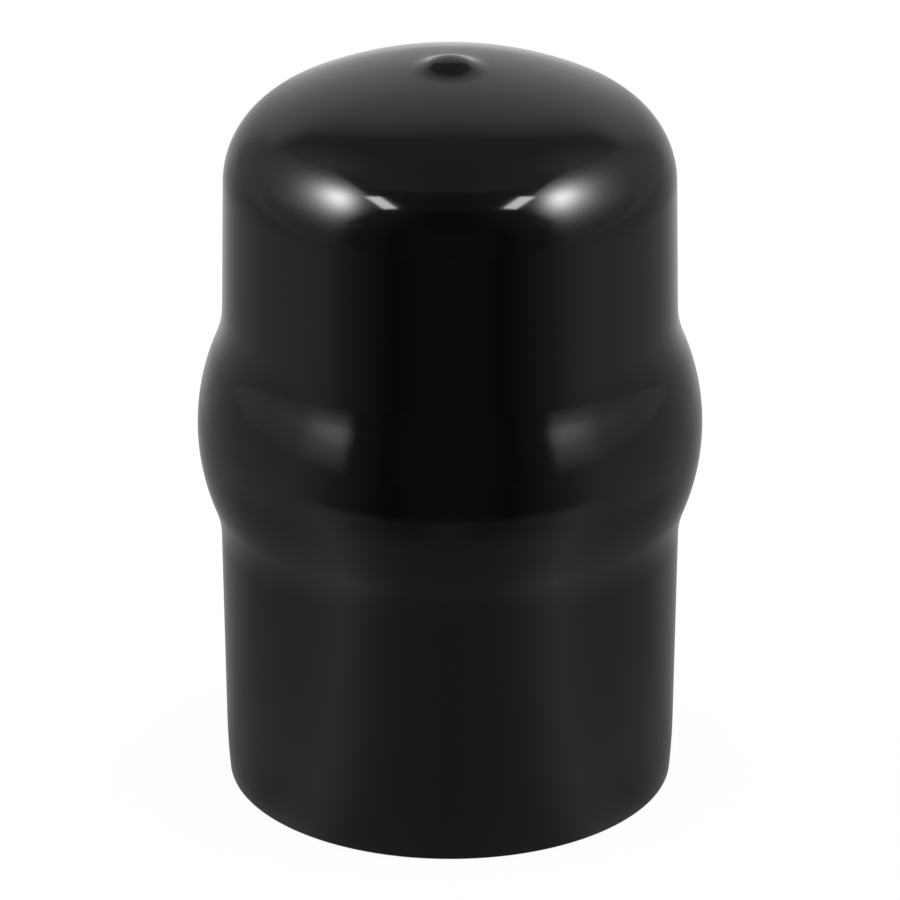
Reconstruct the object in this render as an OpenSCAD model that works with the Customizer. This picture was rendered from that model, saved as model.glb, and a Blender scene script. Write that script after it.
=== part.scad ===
/* [Ball] */
// Diameter of the ball that the cover fits over
ball_d = 50.8; // [47:0.1:55]
// Gap between the ball and the widest part of the pocket
ball_gap = 0.2; // [0:0.05:0.6]

/* [Wall] */
// Thickness of the moulded wall, the same all over
wall = 2.4; // [1.4:0.1:3.4]

/* [Pocket] */
// Height of the middle of the pocket above the mouth
pocket_h = 42; // [38:0.5:48]
// Radius of the arc that makes the pocket's side
pocket_arc_r = 21.7; // [17:0.1:24]

/* [Skirt] */
// How far the skirt lies inside the pocket, measured at the pocket's middle
skirt_step = 2.33; // [1.8:0.01:3.2]
// Draft of the skirt, wider upwards, in degrees
skirt_draft = 1; // [0.2:0.05:1.8]
// Inside radius of the throat, where the skirt runs out into the pocket
throat_r = 15.7; // [9:0.1:20]
// Height over which the soft wall draws in at the mouth
mouth_draw_h = 6; // [3:0.5:12]
// Radius of the arc by which it draws in
mouth_draw_r = 72; // [50:1:150]

/* [Upper wall and crown] */
// How far the upper wall lies inside the pocket, measured at the pocket's middle
upper_step = 2.62; // [1.8:0.01:3.2]
// Draft of the upper wall, narrower upwards, in degrees
upper_draft = 0.85; // [0.2:0.05:1.8]
// Inside radius of the neck between the pocket and the upper wall
neck_r = 15.8; // [9:0.1:24]
// Height of the inside of the crown above the middle of the pocket
crown_rise = 39.6; // [36:0.1:46]
// Inside radius of the rounded shoulder
shoulder_r = 6.6; // [3:0.1:12]
// Inside radius of the domed crown
crown_r = 40.1; // [32:0.1:60]

/* [Drip nub] */
// Height of the nub that the last drip leaves on the crown
nub_h = 1.15; // [0.6:0.05:1.6]
// Radius of the nub's rounded tip
nub_tip_r = 4.4; // [3:0.1:6]
// Radius of the soft fillet round the nub's foot
nub_foot_r = 7.4; // [4:0.1:12]
// Angle from the axis, towards the back, at which the drip hung, in degrees
nub_lean = 1.7; // [0:0.1:3]

/* [Hidden] */
$fa = 2;
$fs = 0.3;
// Tangent arcs overlap by this much, so that each pair crosses instead of only touching
lap = 0.0002;

// The mandrel's section lies right of the axis, with the mouth at height 0
pocket_r = ball_d / 2 + ball_gap;
pocket_c = [pocket_r - pocket_arc_r, pocket_h];
skirt_dir = 90 - skirt_draft;
skirt_normal = unit(-skirt_draft);
skirt_at_pocket = [pocket_r - skirt_step, pocket_h];
upper_dir = 90 + upper_draft;
upper_normal = unit(upper_draft);
upper_at_pocket = [pocket_r - upper_step, pocket_h];
crown_c = [0, pocket_h + crown_rise - crown_r];

// Each fillet's centre is at its own distance from the two shapes that it joins
throat_c = meet(skirt_at_pocket + throat_r * skirt_normal, skirt_dir, pocket_c, pocket_arc_r + throat_r, -1);
neck_c = meet(upper_at_pocket + neck_r * upper_normal, upper_dir, pocket_c, pocket_arc_r + neck_r, 1);
shoulder_c = meet(upper_at_pocket - shoulder_r * upper_normal, upper_dir, crown_c, crown_r - shoulder_r, 1);
draw_start = on_skirt(mouth_draw_h);
draw_c = draw_start - mouth_draw_r * skirt_normal;
// The drawn-in part runs on inside the straight skirt by this much
draw_root = mouth_draw_h / 4;

// The nub stands on the outside of the crown
crown_outer_r = crown_r + wall;
nub_tip_c = crown_c + [0, crown_outer_r + nub_h - nub_tip_r];
nub_foot_c = between(crown_c, crown_outer_r + nub_foot_r, nub_tip_c, nub_tip_r + nub_foot_r);
// Its root is a disc halfway through the wall
nub_root_h = crown_c[1] + crown_r + wall / 2;
nub_root_r = nub_foot_c[0] / 2;

// Unit vector at angle a
function unit(a) = [cos(a), sin(a)];

// Unit vector from p to q
function toward(p, q) = (q - p) / norm(q - p);

// Point at distance r from c on the line through p at angle a, the upper (side 1) or lower (side -1) one
function meet(p, a, c, r, side) =
    let (along = (p - c) * unit(a), gap2 = (p - c) * (p - c) - r * r)
    p + (side * sqrt(along * along - gap2) - along) * unit(a);

// Point at distance r from p and s from q, right of the axis, where q is straight above p
function between(p, r, q, s) =
    let (d = q[1] - p[1], rise = (d * d + r * r - s * s) / (2 * d))
    p + [sqrt(r * r - rise * rise), rise];

// Point of the mandrel's skirt line at height h
function on_skirt(h) = skirt_at_pocket + (h - pocket_h) / sin(skirt_dir) * unit(skirt_dir);

// Keeps what lies right of the axis and above the mouth
module right_half() {
    intersection() {
        children();
        square([2 * pocket_r, 2 * nub_tip_c[1]]);
    }
}

module disc(centre, r) {
    translate(centre) circle(r = r);
}

// Straight walls and chords under the arcs, with the two necks scooped out of them
module straight_section(grow) {
    difference() {
        polygon([
            [0, 0],
            meet([0, 0], 0, draw_c, mouth_draw_r + grow, 1),
            draw_start + grow * skirt_normal,
            throat_c - (throat_r - grow) * skirt_normal,
            pocket_c + (pocket_arc_r + grow) * toward(pocket_c, throat_c),
            pocket_c + (pocket_arc_r + grow) * toward(pocket_c, neck_c),
            neck_c - (neck_r - grow) * upper_normal,
            shoulder_c + (shoulder_r + grow) * upper_normal,
            crown_c + (crown_r + grow) * toward(crown_c, shoulder_c),
            [0, shoulder_c[1]]
        ]);
        disc(throat_c, throat_r - grow + lap);
        disc(neck_c, neck_r - grow + lap);
    }
}

// Slight drawing in of the wall just above the mouth
module mouth_section(grow) {
    over = draw_start + 2 * grow * skirt_normal + draw_root * unit(skirt_dir);
    intersection() {
        disc(draw_c, mouth_draw_r + grow + lap);
        polygon([[0, 0], [2 * pocket_r, 0], over, [0, over[1]]]);
    }
}

// Domed crown between the two ends of the shoulder
module crown_section(grow) {
    sector_r = 2 * crown_outer_r;
    intersection() {
        disc(crown_c, crown_r + grow);
        polygon([crown_c, crown_c + sector_r * toward(crown_c, shoulder_c), crown_c + [0, sector_r]]);
    }
}

// Half section of everything within grow of the mandrel
module section(grow) {
    right_half() {
        union() {
            straight_section(grow);
            mouth_section(grow);
            disc(pocket_c, pocket_arc_r + grow);
            disc(shoulder_c, shoulder_r + grow + lap);
            crown_section(grow);
        }
    }
}

// Half section of the nub, rooted in the crown's wall
module nub_section() {
    right_half() {
        union() {
            difference() {
                polygon([
                    [0, nub_root_h],
                    [nub_root_r, nub_root_h],
                    crown_c + crown_outer_r * toward(crown_c, nub_foot_c),
                    nub_tip_c + nub_tip_r * toward(nub_tip_c, nub_foot_c),
                    nub_tip_c
                ]);
                disc(nub_foot_c, nub_foot_r + lap);
            }
            disc(nub_tip_c, nub_tip_r);
        }
    }
}

// The nub, leaning back round the middle of the crown's dome
module nub() {
    translate([0, 0, crown_c[1]])
        rotate([-nub_lean, 0, 0])
            translate([0, 0, -crown_c[1]])
                rotate_extrude() nub_section();
}

// One dipped moulding: a skirt, a round pocket for the ball, an upper wall and a closed crown
module cover() {
    color("#1b1b1c") difference() {
        union() {
            rotate_extrude() section(wall);
            nub();
        }
        rotate_extrude() section(0);
    }
}

cover();
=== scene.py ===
import math

import bpy
from mathutils import Matrix, Vector


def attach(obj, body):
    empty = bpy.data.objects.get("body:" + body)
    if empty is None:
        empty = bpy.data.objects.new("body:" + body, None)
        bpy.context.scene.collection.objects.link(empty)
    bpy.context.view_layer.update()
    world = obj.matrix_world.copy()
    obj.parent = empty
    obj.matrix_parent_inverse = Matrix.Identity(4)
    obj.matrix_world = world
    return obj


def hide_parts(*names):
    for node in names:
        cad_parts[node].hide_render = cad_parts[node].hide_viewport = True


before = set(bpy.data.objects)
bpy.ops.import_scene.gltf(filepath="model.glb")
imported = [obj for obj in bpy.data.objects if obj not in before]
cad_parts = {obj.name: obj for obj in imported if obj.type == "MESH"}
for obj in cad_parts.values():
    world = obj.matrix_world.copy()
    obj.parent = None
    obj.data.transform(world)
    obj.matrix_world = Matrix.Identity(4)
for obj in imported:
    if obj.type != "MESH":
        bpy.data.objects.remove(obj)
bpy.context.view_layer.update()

MM = 0.001

# Sizes of the moulding in millimetres and degrees, the same as in the part's source
BALL_D = 50.8
BALL_GAP = 0.2
WALL = 2.4
POCKET_H = 42
POCKET_ARC_R = 21.7
SKIRT_STEP = 2.33
SKIRT_DRAFT = 1
THROAT_R = 15.7
MOUTH_DRAW_H = 6
MOUTH_DRAW_R = 72
UPPER_STEP = 2.62
UPPER_DRAFT = 0.85
NECK_R = 15.8
CROWN_RISE = 39.6
SHOULDER_R = 6.6
CROWN_R = 40.1
NUB_H = 1.15
NUB_TIP_R = 4.4
NUB_FOOT_R = 7.4
NUB_LEAN = 1.7

# Finer sizes that only the look needs: the cut mouth's soft edges, and the way over which the nub's
# lean dies out in the dome
CUT_EDGE_R = 0.15
NUB_SPREAD = 9

# How finely the moulding is turned
TURN_STEPS = 180
ARC_STEP_DEG = 2
LINE_STEP = 3
RIM_STEPS = 4
CUT_EDGE_STEPS = 3
MERGE_GAP = 0.002
SMOOTH_DEG = 35

# Refraction of soft vinyl, and the material slots after the first one, the gloss outside
VINYL_IOR = 1.5
SATIN_SLOT = 1
CUT_SLOT = 2
# A face of the cut mouth looks down at least this much
CUT_FACE_DOWN = -0.5

# Camera, worked out from the photograph
CAMERA_DISTANCE = 1.1
CAMERA_PITCH_DEG = 24.636
CAMERA_AIM_H = 38.433
CAMERA_FOCAL_PX = 9901.1
PHOTO_PX = 900
SENSOR_MM = 36


def unit(deg):
    """Unit vector of the section plane at that angle, x outwards and y up."""
    return Vector((math.cos(math.radians(deg)), math.sin(math.radians(deg))))


def toward(p, q):
    return (q - p).normalized()


def meet(p, deg, c, r, side):
    """Point at distance r from c on the line through p at that angle, the upper (1) or lower (-1) one."""
    along = (p - c).dot(unit(deg))
    gap2 = (p - c).length_squared - r * r
    return p + (side * math.sqrt(along * along - gap2) - along) * unit(deg)


def between(p, r, q, s):
    """Point at distance r from p and s from q, right of the axis, where q is straight above p."""
    d = q.y - p.y
    rise = (d * d + r * r - s * s) / (2 * d)
    return p + Vector((math.sqrt(r * r - rise * rise), rise))


def place(point):
    """A point of the section plane, in millimetres, as a place in the frame, in metres."""
    return Vector((point.x * MM, 0, point.y * MM))


# The mandrel's section, right of the axis, with the mouth at height 0
pocket_r = BALL_D / 2 + BALL_GAP
pocket_c = Vector((pocket_r - POCKET_ARC_R, POCKET_H))
skirt_dir = 90 - SKIRT_DRAFT
skirt_normal = unit(-SKIRT_DRAFT)
skirt_at_pocket = Vector((pocket_r - SKIRT_STEP, POCKET_H))
upper_dir = 90 + UPPER_DRAFT
upper_normal = unit(UPPER_DRAFT)
upper_at_pocket = Vector((pocket_r - UPPER_STEP, POCKET_H))
crown_c = Vector((0, POCKET_H + CROWN_RISE - CROWN_R))
throat_c = meet(skirt_at_pocket + THROAT_R * skirt_normal, skirt_dir, pocket_c, POCKET_ARC_R + THROAT_R, -1)
neck_c = meet(upper_at_pocket + NECK_R * upper_normal, upper_dir, pocket_c, POCKET_ARC_R + NECK_R, 1)
shoulder_c = meet(upper_at_pocket - SHOULDER_R * upper_normal, upper_dir, crown_c, CROWN_R - SHOULDER_R, 1)
draw_start = skirt_at_pocket + (MOUTH_DRAW_H - POCKET_H) / math.sin(math.radians(skirt_dir)) * unit(skirt_dir)
draw_c = draw_start - MOUTH_DRAW_R * skirt_normal
crown_outer_r = CROWN_R + WALL
nub_tip_c = crown_c + Vector((0, crown_outer_r + NUB_H - NUB_TIP_R))
nub_foot_c = between(crown_c, crown_outer_r + NUB_FOOT_R, nub_tip_c, NUB_TIP_R + NUB_FOOT_R)
nub_end = crown_c + crown_outer_r * toward(crown_c, nub_foot_c)


def start_outline(name, point):
    """New mesh object in edit mode, with one selected point to draw from."""
    bpy.ops.object.select_all(action="DESELECT")
    bpy.ops.mesh.primitive_plane_add(size=MM, location=place(point))
    piece = bpy.context.object
    piece.name = name
    bpy.ops.object.transform_apply(location=True, rotation=False, scale=False)
    bpy.ops.object.mode_set(mode="EDIT")
    bpy.ops.mesh.select_mode(type="VERT")
    bpy.ops.mesh.merge(type="CENTER")
    return piece


def draw_line(start, end, steps=None):
    """Extrudes the selected point along a straight line."""
    steps = steps or max(1, round((end - start).length / LINE_STEP))
    stride = (place(end) - place(start)) / steps
    for _ in range(steps):
        bpy.ops.mesh.extrude_region_move(TRANSFORM_OT_translate={"value": stride})
    return end


def draw_arc(start, end, centre):
    """Spins the selected point round the arc's centre."""
    sweep = (start - centre).angle_signed(end - centre)
    steps = max(2, math.ceil(abs(math.degrees(sweep)) / ARC_STEP_DEG))
    bpy.ops.mesh.spin(steps=steps, angle=sweep, center=place(centre), axis=(0, -1, 0))
    return end


def section_marks(grow):
    """Where one line or arc of the wall's section passes into the next, from the mouth up."""
    return [
        meet(Vector((0, 0)), 0, draw_c, MOUTH_DRAW_R + grow, 1),
        draw_start + grow * skirt_normal,
        throat_c - (THROAT_R - grow) * skirt_normal,
        pocket_c + (POCKET_ARC_R + grow) * toward(pocket_c, throat_c),
        pocket_c + (POCKET_ARC_R + grow) * toward(pocket_c, neck_c),
        neck_c - (NECK_R - grow) * upper_normal,
        shoulder_c + (SHOULDER_R + grow) * upper_normal,
        crown_c + (CROWN_R + grow) * toward(crown_c, shoulder_c),
    ]


# Centre of the arc between each mark and the next, or None for a straight line
section_arcs = [draw_c, None, throat_c, pocket_c, neck_c, None, shoulder_c]


def draw_section(marks, arcs):
    for start, end, centre in zip(marks, marks[1:], arcs):
        if centre is None:
            draw_line(start, end)
        else:
            draw_arc(start, end, centre)


def pick(piece, test):
    """Selects, in edit mode, the vertices whose radius and height in millimetres pass the test."""
    bpy.ops.mesh.select_all(action="DESELECT")
    bpy.ops.object.mode_set(mode="OBJECT")
    for vertex in piece.data.vertices:
        spot = vertex.co / MM
        vertex.select = test(spot.xy.length, spot.z)
    bpy.ops.object.mode_set(mode="EDIT")


def make_cover():
    """The whole moulding in one turned shell: nub, outside, cut mouth and inside."""
    outside = section_marks(WALL)
    inside = section_marks(0)
    nub_top = nub_tip_c + Vector((0, NUB_TIP_R))
    nub_side = nub_tip_c + NUB_TIP_R * toward(nub_tip_c, nub_foot_c)
    crown_inside = crown_c + Vector((0, CROWN_R))
    piece = start_outline("moulded_cover", nub_top)
    draw_arc(nub_top, nub_side, nub_tip_c)
    draw_arc(nub_side, nub_end, nub_foot_c)
    draw_arc(nub_end, outside[-1], crown_c)
    draw_section(outside[::-1], section_arcs[::-1])
    draw_line(outside[0], inside[0], RIM_STEPS)
    draw_section(inside, section_arcs)
    draw_arc(inside[-1], crown_inside, crown_c)
    bpy.ops.mesh.select_all(action="SELECT")
    bpy.ops.mesh.spin(steps=TURN_STEPS, angle=math.tau, center=(0, 0, 0), axis=(0, 0, 1))
    bpy.ops.mesh.select_all(action="SELECT")
    bpy.ops.mesh.remove_doubles(threshold=MERGE_GAP * MM)
    bpy.ops.mesh.normals_make_consistent(inside=False)

    # The nub leans back round the middle of the dome, and the dome round it gives way softly
    pick(piece, lambda r, h: r < nub_end.x + MERGE_GAP and h > crown_inside.y + WALL / 2)
    bpy.ops.transform.rotate(
        value=math.radians(NUB_LEAN), orient_axis="X", orient_type="GLOBAL",
        center_override=place(crown_c), use_proportional_edit=True, use_proportional_connected=True,
        proportional_edit_falloff="SMOOTH", proportional_size=NUB_SPREAD * MM,
    )

    # The knife leaves the two edges of the cut mouth a little soft
    edge_radii = (outside[0].x, inside[0].x)
    pick(piece, lambda r, h: abs(h) < MERGE_GAP and any(abs(r - e) < MERGE_GAP for e in edge_radii))
    bpy.ops.mesh.bevel(offset=CUT_EDGE_R * MM, segments=CUT_EDGE_STEPS, affect="EDGES")
    bpy.ops.object.mode_set(mode="OBJECT")
    return piece


def linear(code):
    """sRGB hex colour as the linear colour that nodes take."""
    values = [int(code[i:i + 2], 16) / 255 for i in (1, 3, 5)]
    return [v / 12.92 if v <= 0.04045 else ((v + 0.055) / 1.055) ** 2.4 for v in values] + [1]


def add_node(tree, kind, inputs=None, **settings):
    """Adds a node with its settings, its input values and its links."""
    node = tree.nodes.new(kind)
    for name, value in settings.items():
        setattr(node, name, value)
    for key, value in (inputs or {}).items():
        if isinstance(value, bpy.types.NodeSocket):
            tree.links.new(value, node.inputs[key])
        else:
            node.inputs[key].default_value = value
    return node


def new_material(name):
    material = bpy.data.materials.new(name)
    material.use_nodes = True
    tree = material.node_tree
    spot = add_node(tree, "ShaderNodeTexCoord").outputs["Object"]
    return material, tree, tree.nodes["Principled BSDF"], spot


def gloss_vinyl():
    """The dipped outside: flowed out and cured glossy, so it mirrors the room with a faint waviness."""
    material, tree, shader, spot = new_material("dip_moulded_gloss_pvc")
    shader.inputs["Base Color"].default_value = linear("#050505")
    shader.inputs["IOR"].default_value = VINYL_IOR
    # Slow runs of the liquid vinyl, 14 mm across, bend the mirrored edges a little
    runs = add_node(tree, "ShaderNodeTexNoise", {"Vector": spot, "Scale": 1 / (14 * MM), "Detail": 1.0})
    skin = add_node(tree, "ShaderNodeBump", {
        "Height": runs.outputs[0], "Strength": 1.0, "Distance": 0.012 * MM,
    })
    tree.links.new(skin.outputs[0], shader.inputs["Normal"])
    # Handling leaves the gloss a touch duller in patches 9 mm across
    haze = add_node(tree, "ShaderNodeTexNoise", {"Vector": spot, "Scale": 1 / (9 * MM), "Detail": 3.0})
    dull = add_node(tree, "ShaderNodeMapRange", {"Value": haze.outputs[0], "To Min": 0.07, "To Max": 0.12})
    tree.links.new(dull.outputs[0], shader.inputs["Roughness"])
    return material


def mandrel_vinyl():
    """The inside, stripped off the mandrel: it copies the blasted steel, so it is satin with a fine grain."""
    material, tree, shader, spot = new_material("mandrel_side_satin_pvc")
    shader.inputs["Base Color"].default_value = linear("#121212")
    shader.inputs["IOR"].default_value = VINYL_IOR
    # Grain of the blasted mandrel, 0.5 mm
    grain = add_node(tree, "ShaderNodeTexNoise", {"Vector": spot, "Scale": 1 / (0.5 * MM), "Detail": 2.0})
    skin = add_node(tree, "ShaderNodeBump", {
        "Height": grain.outputs[0], "Strength": 0.6, "Distance": 0.02 * MM,
    })
    tree.links.new(skin.outputs[0], shader.inputs["Normal"])
    # Release agent left in patches 7 mm across
    film = add_node(tree, "ShaderNodeTexNoise", {"Vector": spot, "Scale": 1 / (7 * MM), "Detail": 3.0})
    dull = add_node(tree, "ShaderNodeMapRange", {"Value": film.outputs[0], "To Min": 0.32, "To Max": 0.46})
    tree.links.new(dull.outputs[0], shader.inputs["Roughness"])
    return material


def cut_vinyl():
    """The mouth, cut round with a blade: matt, with the blade's fine rings."""
    material, tree, shader, spot = new_material("blade_cut_pvc")
    shader.inputs["IOR"].default_value = VINYL_IOR
    shader.inputs["Roughness"].default_value = 0.55
    # Rings about 0.3 mm apart; a wave of scale 1 repeats each pi / 10 of a unit
    rings = add_node(tree, "ShaderNodeTexWave", {
        "Vector": spot, "Scale": math.pi / 10 / (0.3 * MM), "Distortion": 1.2, "Detail": 2.0,
    }, wave_type="RINGS", rings_direction="Z")
    marks = add_node(tree, "ShaderNodeBump", {
        "Height": rings.outputs[1], "Strength": 0.7, "Distance": 0.02 * MM,
    })
    tree.links.new(marks.outputs[0], shader.inputs["Normal"])
    # The cut drags out paler streaks where the blade smeared the vinyl
    tone = add_node(tree, "ShaderNodeMix", {
        0: rings.outputs[1], 6: linear("#131313"), 7: linear("#1d1d1d"),
    }, data_type="RGBA")
    tree.links.new(tone.outputs[2], shader.inputs["Base Color"])
    return material


cover = make_cover()
for finish in (gloss_vinyl, mandrel_vinyl, cut_vinyl):
    cover.data.materials.append(finish())
pocket_middle = Vector((0, 0, POCKET_H * MM))
for face in cover.data.polygons:
    if face.center.z < CUT_EDGE_R * MM and face.normal.z < CUT_FACE_DOWN:
        face.material_index = CUT_SLOT
    elif face.normal.dot(face.center - pocket_middle) < 0:
        face.material_index = SATIN_SLOT
bpy.ops.object.select_all(action="DESELECT")
cover.select_set(True)
bpy.context.view_layer.objects.active = cover
bpy.ops.object.shade_smooth_by_angle(angle=math.radians(SMOOTH_DEG))
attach(cover, "root")
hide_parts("cover")

# Camera at the photograph's place
pitch = math.radians(CAMERA_PITCH_DEG)
aim = Vector((0, 0, CAMERA_AIM_H * MM))
eye = aim + CAMERA_DISTANCE * Vector((0, -math.cos(pitch), math.sin(pitch)))
camera_data = bpy.data.cameras.new("photo_camera")
camera_data.sensor_width = SENSOR_MM
camera_data.lens = SENSOR_MM * CAMERA_FOCAL_PX / PHOTO_PX
camera = bpy.data.objects.new("photo_camera", camera_data)
bpy.context.scene.collection.objects.link(camera)
camera.location = eye
camera.rotation_euler = (aim - eye).to_track_quat("-Z", "Y").to_euler()
bpy.context.scene.camera = camera

# The two big side lights that the crown mirrors, in metres: their place, their hot middle and how the
# light falls off round it and fades out to the front and the back
CROWN_EYE = Vector((0, -0.01, 0.073))
PANEL_X = 0.6
PANEL_Y = (-0.54, 0.8)
PANEL_Z = (0.02, 1.22)
PANEL_PEAK = 24.2
PANEL_HOT_Y = -0.184
PANEL_HOT_Z = 0.685
PANEL_HOT_SPREAD = (0.466, 0.267)
PANEL_HOT_TILT_DEG = 51.8
PANEL_FALL = -2.87
PANEL_FRONT_FADE = 0.446
PANEL_FRONT_Y = -0.35
PANEL_FRONT_LEAN = -0.225
PANEL_BACK_FADE = 0.235

# A small strip light on each side, from one azimuth and elevation to another
STRIP_ENDS = ((44, 55), (72.5, 62.3))
STRIP_DISTANCE = 0.8
STRIP_WIDTH_DEG = 6
STRIP_LEVEL = 11.5

# Soft light that only matt surfaces take
FILL_LEVEL = 1.6
EVEN_LEVEL = 0.5

# Paper under the part
FLOOR_FRONT = -0.6
FLOOR_BACK = 1.1
FLOOR_SIDE = 0.9
FLOOR_DROP = 0.05
FLOOR_WHITE = 0.92

# The mirrored room round the part, low, high and overhead: azimuth from the camera's side in degrees,
# and brightness, where 1 is white
LOW_ROUND = (
    (0, 0.06), (20, 0.06), (28, 0.02), (36, 0.08), (45, 0.12), (50, 0.25), (66, 0.4), (76, 0.3),
    (92, 0.28), (105, 0.35), (142, 0.34), (151, 0.5), (170, 0.67),
)
HIGH_ROUND = ((0, 0.02), (26, 0.06), (48, 0.14), (56, 0.3), (64, 0.36), (138, 0.34), (147, 0.18))
TOP_ROUND = ((0, 0.08), (80, 0.12), (100, 0.22), (130, 0.25), (160, 0.2))
# Elevations over which one of these passes into the next
LOW_TO_HIGH = (26, 37)
HIGH_TO_TOP = (56, 64)
# The pale rounded backdrop behind the part: half width and height for each metre of its distance
BACKDROP_WIDE = 0.63
BACKDROP_HIGH = 1.73
BACKDROP_ROUNDING = 3.1
BACKDROP_LEVEL = 0.48
BACKDROP_NEAREST = 0.01
# The side lights' lower front corners, which the bulge mirrors: share by azimuth and by elevation
CORNER_ROUND = ((45, 0), (47, 0.17), (50, 0.75), (54, 1), (59, 0.95), (64, 0.6), (72, 0.05), (76, 0))
CORNER_RISE = ((-4, 0), (0, 0.12), (9, 0.52), (12, 0.9), (14, 1), (16, 1), (22, 0))
CORNER_LEVEL = 1.6
# A small card on each side, which keeps those corners out of the shoulder's foot; only mirrors show it, and
# it glows with painted grey, painted light and painted shade
CARD_AZIMUTH = 65
CARD_PLACE = (0.0585, -0.0423)
CARD_WIDTH = (-0.024, 0.056)
CARD_RISE = (0.069, 0.098)
CARD_EDGE = (-0.021, 0.001)
CARD_CUT = ((0.006, 0.069), (0.056, 0.079))
# Painted shade at the card's front edge, and the painted grey glow of the rest
CARD_PAINTED_SHADE = 0.1
CARD_PAINTED_GREY = 0.27
# Painted light: the side light's spill over its upper edge is painted on as glow, less so from this share of
# its width on to the back
CARD_PAINTED_SPILL = 1.75
CARD_PAINTED_SPILL_POWER = 3.0
CARD_FADE_START = 0.42
CARD_FADE_END_LEVEL = 0.36
# The paper as gloss and clear surfaces mirror it, painted light and painted shade: azimuth and brightness
# where the part stands, close to it, farther off and far away. It is painted darker in the part's shadow and
# in front, and lighter in fans beside it
FOOT_PAPER_PAINTED_LIGHT = (
    (0, 0.18), (30, 0.26), (42, 0.41), (50, 0.36), (64, 0.2), (100, 0.2), (120, 0.28), (180, 0.7),
)
NEAR_PAPER_PAINTED_LIGHT = (
    (0, 0.18), (18, 0.19), (30, 0.27), (48, 0.46), (56, 0.39), (66, 0.32), (74, 0.28), (84, 0.25),
    (100, 0.22), (112, 0.25), (132, 0.3), (156, 0.4), (180, 0.9),
)
MID_PAPER_PAINTED_LIGHT = (
    (0, 0.17), (12, 0.12), (24, 0.13), (36, 0.24), (48, 0.41), (54, 0.45), (68, 0.35), (108, 0.31),
    (126, 0.29), (156, 0.43), (168, 0.8), (180, 1),
)
FAR_PAPER_PAINTED_LIGHT = (
    (0, 0.07), (16, 0.06), (24, 0.02), (31, 0.06), (38, 0.1), (50, 0.18), (60, 0.32), (72, 0.37),
    (90, 0.32), (112, 0.3), (124, 0.31), (135, 0.37), (150, 0.55), (168, 0.6), (180, 0.9),
)
# Distances from the part's axis, in metres, over which one of these passes into the next
FOOT_TO_NEAR = (0.026, 0.04)
NEAR_TO_MID = (0.075, 0.105)
MID_TO_FAR = (0.12, 0.145)


def direction(azimuth, elevation):
    """Unit vector from the part, azimuth 0 towards the camera and positive to the right."""
    a, e = math.radians(azimuth), math.radians(elevation)
    return Vector((math.sin(a) * math.cos(e), -math.cos(a) * math.cos(e), math.sin(e)))


def add_lamp(name, centre, across, facing, size, level=1.0):
    """Rectangular lamp of even radiance level, where 1 is white."""
    data = bpy.data.lights.new(name, "AREA")
    data.shape = "RECTANGLE"
    data.size, data.size_y = size
    data.energy = math.pi * size[0] * size[1]
    data.use_nodes = True
    data.node_tree.nodes["Emission"].inputs["Strength"].default_value = level
    lamp = bpy.data.objects.new(name, data)
    bpy.context.scene.collection.objects.link(lamp)
    back = -facing.normalized()
    side = across.normalized()
    turn = Matrix((side, back.cross(side), back)).transposed()
    lamp.matrix_world = Matrix.Translation(centre) @ turn.to_4x4()
    lamp.visible_camera = False
    return lamp


def set_panel_glow(lamp, x):
    """Makes the panel bright in a tilted oval and lets it fade towards its front and back edges."""
    tree = lamp.data.node_tree
    where = add_node(tree, "ShaderNodeNewGeometry").outputs["Position"]
    hot = add_node(tree, "ShaderNodeMapping", {
        "Vector": where,
        "Location": (x, PANEL_HOT_Y, PANEL_HOT_Z),
        "Rotation": (math.radians(PANEL_HOT_TILT_DEG), 0, 0),
        "Scale": (1, PANEL_HOT_SPREAD[0], PANEL_HOT_SPREAD[1]),
    }, vector_type="TEXTURE").outputs[0]
    square = add_node(tree, "ShaderNodeVectorMath", {
        0: hot,
        1: hot,
    }, operation="DOT_PRODUCT").outputs["Value"]
    more = add_node(tree, "ShaderNodeMath", {0: square, 1: 1.0}, operation="ADD").outputs[0]
    fall = add_node(tree, "ShaderNodeMath", {0: more, 1: PANEL_FALL}, operation="POWER").outputs[0]
    in_front = add_node(tree, "ShaderNodeVectorMath", {
        0: where,
        1: (0, 1, -PANEL_FRONT_LEAN),
    }, operation="DOT_PRODUCT").outputs["Value"]
    front = add_node(tree, "ShaderNodeMapRange", {
        "Value": in_front, "From Min": PANEL_FRONT_Y, "From Max": PANEL_FRONT_Y + PANEL_FRONT_FADE,
    }).outputs[0]
    along = add_node(tree, "ShaderNodeSeparateXYZ", {0: where}).outputs["Y"]
    back = add_node(tree, "ShaderNodeMapRange", {
        "Value": along, "From Min": PANEL_Y[1], "From Max": PANEL_Y[1] - PANEL_BACK_FADE,
    }).outputs[0]
    fade = add_node(tree, "ShaderNodeMath", {0: front, 1: back}, operation="MULTIPLY").outputs[0]
    glow = add_node(tree, "ShaderNodeMath", {0: fall, 1: fade}, operation="MULTIPLY").outputs[0]
    level = add_node(tree, "ShaderNodeMath", {0: glow, 1: PANEL_PEAK}, operation="MULTIPLY").outputs[0]
    tree.links.new(level, tree.nodes["Emission"].inputs["Strength"])


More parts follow.
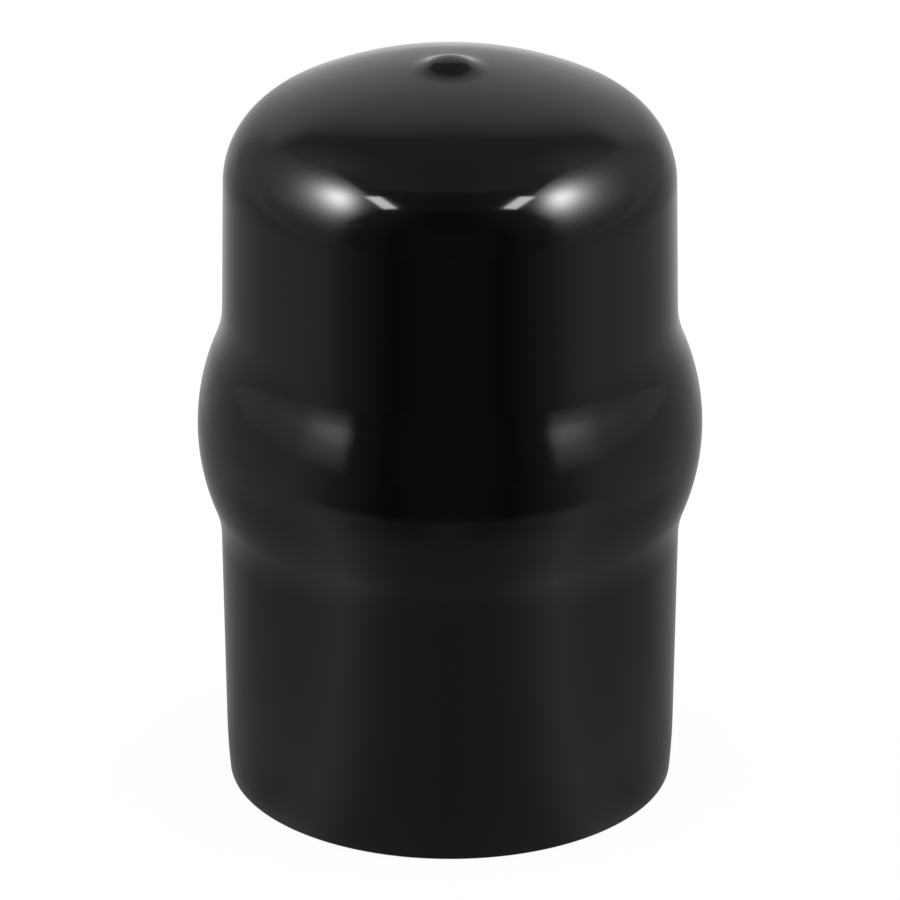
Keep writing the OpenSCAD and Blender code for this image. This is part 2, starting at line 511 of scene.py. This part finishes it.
for side, word in ((-1, "left"), (1, "right")):
    x = side * PANEL_X
    centre = Vector((x, sum(PANEL_Y) / 2, sum(PANEL_Z) / 2))
    size = (PANEL_Y[1] - PANEL_Y[0], PANEL_Z[1] - PANEL_Z[0])
    inwards = Vector((-side, 0, 0))
    panel = add_lamp("side_panel_" + word, centre, Vector((0, 1, 0)), inwards, size)
    set_panel_glow(panel, x)
    panel.visible_diffuse = False
    low, high = (CROWN_EYE + STRIP_DISTANCE * direction(side * a, e) for a, e in STRIP_ENDS)
    across = high - low
    middle = (low + high) / 2
    facing = CROWN_EYE - middle
    facing = facing - facing.project(across)
    width = 2 * STRIP_DISTANCE * math.tan(math.radians(STRIP_WIDTH_DEG / 2))
    strip = add_lamp("strip_" + word, middle, across, facing, (across.length, width), STRIP_LEVEL)
    strip.visible_diffuse = False
    fill = add_lamp("soft_fill_" + word, centre, Vector((0, 1, 0)), inwards, size, FILL_LEVEL)
    fill.visible_glossy = False


def level_by_angle(tree, value, stops, first=0.0):
    """Grey level by angle, where the value runs from 0 at the angle first to 1 at 180 degrees more."""
    ramp = add_node(tree, "ShaderNodeValToRGB", {"Fac": value})
    elements = ramp.color_ramp.elements
    elements.remove(elements[-1])
    for i, (degrees, level) in enumerate(stops):
        spot = (degrees - first) / 180
        element = elements.new(spot) if i else elements[0]
        element.position = spot
        element.color = (level, level, level, 1)
    return ramp.outputs["Color"]


def azimuth_share(tree, parts):
    """Share of the half turn from the camera's side to the back, the same to the left and to the right."""
    wide = add_node(tree, "ShaderNodeMath", {0: parts["X"]}, operation="ABSOLUTE").outputs[0]
    near = add_node(tree, "ShaderNodeMath", {0: parts["Y"], 1: -1.0}, operation="MULTIPLY").outputs[0]
    angle = add_node(tree, "ShaderNodeMath", {0: wide, 1: near}, operation="ARCTAN2").outputs[0]
    return add_node(tree, "ShaderNodeMath", {0: angle, 1: math.pi}, operation="DIVIDE").outputs[0]


def soft_pass(tree, value, span, low, high):
    """Passes softly from the low colour to the high one while the value runs over the span."""
    share = add_node(tree, "ShaderNodeMapRange", {
        "Value": value, "From Min": span[0], "From Max": span[1],
    }, interpolation_type="SMOOTHSTEP").outputs[0]
    return add_node(tree, "ShaderNodeMix", {0: share, 6: low, 7: high}, data_type="RGBA").outputs[2]


# The studio: even light for matt surfaces, the room that gloss and clear surfaces show, and white
# behind the part
world = bpy.data.worlds.new("studio")
bpy.context.scene.world = world
world.use_nodes = True
tree = world.node_tree
tree.nodes.clear()
way = add_node(tree, "ShaderNodeTexCoord").outputs["Generated"]
parts = add_node(tree, "ShaderNodeSeparateXYZ", {0: way}).outputs
azimuth = azimuth_share(tree, parts)
rise = add_node(tree, "ShaderNodeMath", {0: parts["Z"]}, operation="ARCSINE").outputs[0]
rise_share = add_node(tree, "ShaderNodeMapRange", {
    "Value": rise, "From Min": -math.pi / 2, "From Max": math.pi / 2,
}).outputs[0]
upper_walls = soft_pass(
    tree, rise, [math.radians(e) for e in HIGH_TO_TOP],
    level_by_angle(tree, azimuth, HIGH_ROUND), level_by_angle(tree, azimuth, TOP_ROUND),
)
deep = add_node(tree, "ShaderNodeMath", {0: parts["Y"], 1: BACKDROP_NEAREST}, operation="MAXIMUM").outputs[0]
shares = []
for value, half in ((parts["X"], BACKDROP_WIDE), (parts["Z"], BACKDROP_HIGH)):
    away = add_node(tree, "ShaderNodeMath", {0: value}, operation="ABSOLUTE").outputs[0]
    share = add_node(tree, "ShaderNodeMath", {0: away, 1: deep}, operation="DIVIDE").outputs[0]
    share = add_node(tree, "ShaderNodeMath", {0: share, 1: half}, operation="DIVIDE").outputs[0]
    share = add_node(tree, "ShaderNodeMath", {0: share, 1: BACKDROP_ROUNDING}, operation="POWER").outputs[0]
    shares.append(share)
from_middle = add_node(tree, "ShaderNodeMath", {0: shares[0], 1: shares[1]}, operation="ADD").outputs[0]
backdrop = add_node(tree, "ShaderNodeMapRange", {
    "Value": from_middle, "To Min": BACKDROP_LEVEL, "To Max": 0,
}).outputs[0]
upper_walls = add_node(tree, "ShaderNodeMix", {
    0: 1.0, 6: upper_walls, 7: backdrop,
}, data_type="RGBA", blend_type="ADD").outputs[2]
walls = soft_pass(
    tree, rise, [math.radians(e) for e in LOW_TO_HIGH], level_by_angle(tree, azimuth, LOW_ROUND), upper_walls,
)
corner = add_node(tree, "ShaderNodeMath", {
    0: level_by_angle(tree, azimuth, CORNER_ROUND), 1: level_by_angle(tree, rise_share, CORNER_RISE, -90),
}, operation="MULTIPLY").outputs[0]
corner = add_node(tree, "ShaderNodeMath", {0: corner, 1: CORNER_LEVEL}, operation="MULTIPLY").outputs[0]
room = add_node(tree, "ShaderNodeMix", {
    0: 1.0, 6: walls, 7: corner,
}, data_type="RGBA", blend_type="ADD").outputs[2]
even = add_node(tree, "ShaderNodeBackground", {"Color": (1, 1, 1, 1), "Strength": EVEN_LEVEL}).outputs[0]
mirrored_room = add_node(tree, "ShaderNodeBackground", {"Color": room, "Strength": 1.0}).outputs[0]
white = add_node(tree, "ShaderNodeBackground", {"Color": (1, 1, 1, 1), "Strength": 1.0}).outputs[0]
rays = add_node(tree, "ShaderNodeLightPath").outputs
shown = add_node(tree, "ShaderNodeMath", {
    0: rays["Is Glossy Ray"], 1: rays["Is Transmission Ray"],
}, operation="MAXIMUM").outputs[0]
around = add_node(tree, "ShaderNodeMixShader", {0: shown, 1: even, 2: mirrored_room}).outputs[0]
whole = add_node(tree, "ShaderNodeMixShader", {0: rays["Is Camera Ray"], 1: around, 2: white}).outputs[0]
add_node(tree, "ShaderNodeOutputWorld", {"Surface": whole})


def pale_paper():
    """White paper with the part's faint shadow; to gloss it glows instead, with painted shade and painted
    light, as grey as the studio leaves it.
    """
    material = bpy.data.materials.new("pale_paper")
    material.use_nodes = True
    tree = material.node_tree
    tree.nodes.clear()
    rays = add_node(tree, "ShaderNodeLightPath").outputs
    spot = add_node(tree, "ShaderNodeTexCoord").outputs["Object"]
    azimuth = azimuth_share(tree, add_node(tree, "ShaderNodeSeparateXYZ", {0: spot}).outputs)
    reach = add_node(tree, "ShaderNodeVectorMath", {0: spot}, operation="LENGTH").outputs["Value"]
    paper = level_by_angle(tree, azimuth, FOOT_PAPER_PAINTED_LIGHT)
    for span, stops in ((FOOT_TO_NEAR, NEAR_PAPER_PAINTED_LIGHT), (NEAR_TO_MID, MID_PAPER_PAINTED_LIGHT), (MID_TO_FAR, FAR_PAPER_PAINTED_LIGHT)):
        paper = soft_pass(tree, reach, span, paper, level_by_angle(tree, azimuth, stops))
    shown = add_node(tree, "ShaderNodeMath", {
        0: rays["Is Glossy Ray"], 1: rays["Is Transmission Ray"],
    }, operation="MAXIMUM").outputs[0]
    # Painted shade and light: the glow that gloss and clear surfaces see in place of the lit paper
    glow = add_node(tree, "ShaderNodeEmission", {"Color": paper, "Strength": 1.0}).outputs[0]
    # It throws pale light back at the part, and takes the shadow in a darker tone under its own white
    tone = add_node(tree, "ShaderNodeMix", {
        0: rays["Is Camera Ray"], 6: linear("#bcbcbc"), 7: linear("#707070"),
    }, data_type="RGBA").outputs[2]
    matt = add_node(tree, "ShaderNodeBsdfDiffuse", {"Color": tone}).outputs[0]
    lift = add_node(tree, "ShaderNodeMath", {
        0: rays["Is Camera Ray"], 1: FLOOR_WHITE,
    }, operation="MULTIPLY").outputs[0]
    white = add_node(tree, "ShaderNodeEmission", {"Color": (1, 1, 1, 1), "Strength": lift}).outputs[0]
    lit = add_node(tree, "ShaderNodeAddShader", {0: matt, 1: white}).outputs[0]
    both = add_node(tree, "ShaderNodeMixShader", {0: shown, 1: lit, 2: glow}).outputs[0]
    add_node(tree, "ShaderNodeOutputMaterial", {"Surface": both})
    return material


bpy.ops.object.select_all(action="DESELECT")
bpy.ops.mesh.primitive_plane_add(size=1, location=(0, 0, 0))
floor = bpy.context.object
floor.name = "paper_floor"
floor.scale = (2 * FLOOR_SIDE, FLOOR_BACK - FLOOR_FRONT, 1)
floor.location = (0, (FLOOR_BACK + FLOOR_FRONT) / 2, -FLOOR_DROP * MM)
bpy.ops.object.transform_apply(location=True, rotation=True, scale=True)
floor.data.materials.append(pale_paper())


def painted_glow_card():
    """Card that only mirrors show, glowing with painted grey, painted shade at its front edge and painted
    spill of the side light over its top; u runs across it and v up.
    """
    material = bpy.data.materials.new("painted_glow_card")
    material.use_nodes = True
    tree = material.node_tree
    tree.nodes.clear()
    spot = add_node(tree, "ShaderNodeTexCoord").outputs["UV"]
    parts = add_node(tree, "ShaderNodeSeparateXYZ", {0: spot}).outputs
    front, back = ((u - CARD_WIDTH[0]) / (CARD_WIDTH[1] - CARD_WIDTH[0]) for u in CARD_EDGE)
    painted_lit_share = add_node(tree, "ShaderNodeMapRange", {
        "Value": parts["X"], "From Min": front, "From Max": back,
    }, interpolation_type="SMOOTHSTEP").outputs[0]
    high = add_node(tree, "ShaderNodeMath", {0: parts["Y"], 1: CARD_PAINTED_SPILL_POWER}, operation="POWER").outputs[0]
    away = add_node(tree, "ShaderNodeMapRange", {
        "Value": parts["X"], "From Min": CARD_FADE_START, "To Min": 1.0, "To Max": CARD_FADE_END_LEVEL,
    }).outputs[0]
    painted_spill = high
    for share in (away, away, painted_lit_share):
        painted_spill = add_node(tree, "ShaderNodeMath", {0: painted_spill, 1: share}, operation="MULTIPLY").outputs[0]
    # Painted light and shade: grey glow plus the painted spill, dimmed to painted shade at the front edge
    grey = add_node(tree, "ShaderNodeMath", {
        0: painted_spill, 1: CARD_PAINTED_SPILL, 2: CARD_PAINTED_GREY,
    }, operation="MULTIPLY_ADD").outputs[0]
    level = add_node(tree, "ShaderNodeMath", {
        0: grey, 1: painted_lit_share, 2: CARD_PAINTED_SHADE,
    }, operation="MULTIPLY_ADD").outputs[0]
    lit = add_node(tree, "ShaderNodeEmission", {"Color": (1, 1, 1, 1), "Strength": level}).outputs[0]
    add_node(tree, "ShaderNodeOutputMaterial", {"Surface": lit})
    return material


painted_card_glow = painted_glow_card()
for side, word in ((-1, "left"), (1, "right")):
    bpy.ops.object.select_all(action="DESELECT")
    bpy.ops.mesh.primitive_plane_add(size=1, location=(0, 0, 0))
    card = bpy.context.object
    card.name = "painted_glow_card_" + word
    outwards = direction(side * CARD_AZIMUTH, 0)
    across = direction(side * (CARD_AZIMUTH + 90), 0)
    upright = Vector((0, 0, 1))
    foot = Vector((side * CARD_PLACE[0], CARD_PLACE[1], 0))
    middle = foot + across * (sum(CARD_WIDTH) / 2) + upright * (sum(CARD_RISE) / 2)
    turn = Matrix((
        across * (CARD_WIDTH[1] - CARD_WIDTH[0]), upright * (CARD_RISE[1] - CARD_RISE[0]), outwards,
    )).transposed()
    card.matrix_world = Matrix.Translation(middle) @ turn.to_4x4()
    bpy.ops.object.transform_apply(location=True, rotation=True, scale=True)
    # Its lower back corner is cut off, where the bulge would mirror it as a dark spot
    cut_start, cut_end = (foot + across * wide + upright * high for wide, high in CARD_CUT)
    cut_side = upright * (cut_end - cut_start).dot(across) - across * (cut_end.z - cut_start.z)
    bpy.ops.object.mode_set(mode="EDIT")
    bpy.ops.mesh.select_all(action="SELECT")
    bpy.ops.mesh.bisect(plane_co=cut_start, plane_no=cut_side, clear_inner=True)
    bpy.ops.object.mode_set(mode="OBJECT")
    card.data.materials.append(painted_card_glow)
    card.visible_camera = False
    card.visible_diffuse = False
    card.visible_shadow = False

bpy.context.scene.view_settings.view_transform = "Standard"
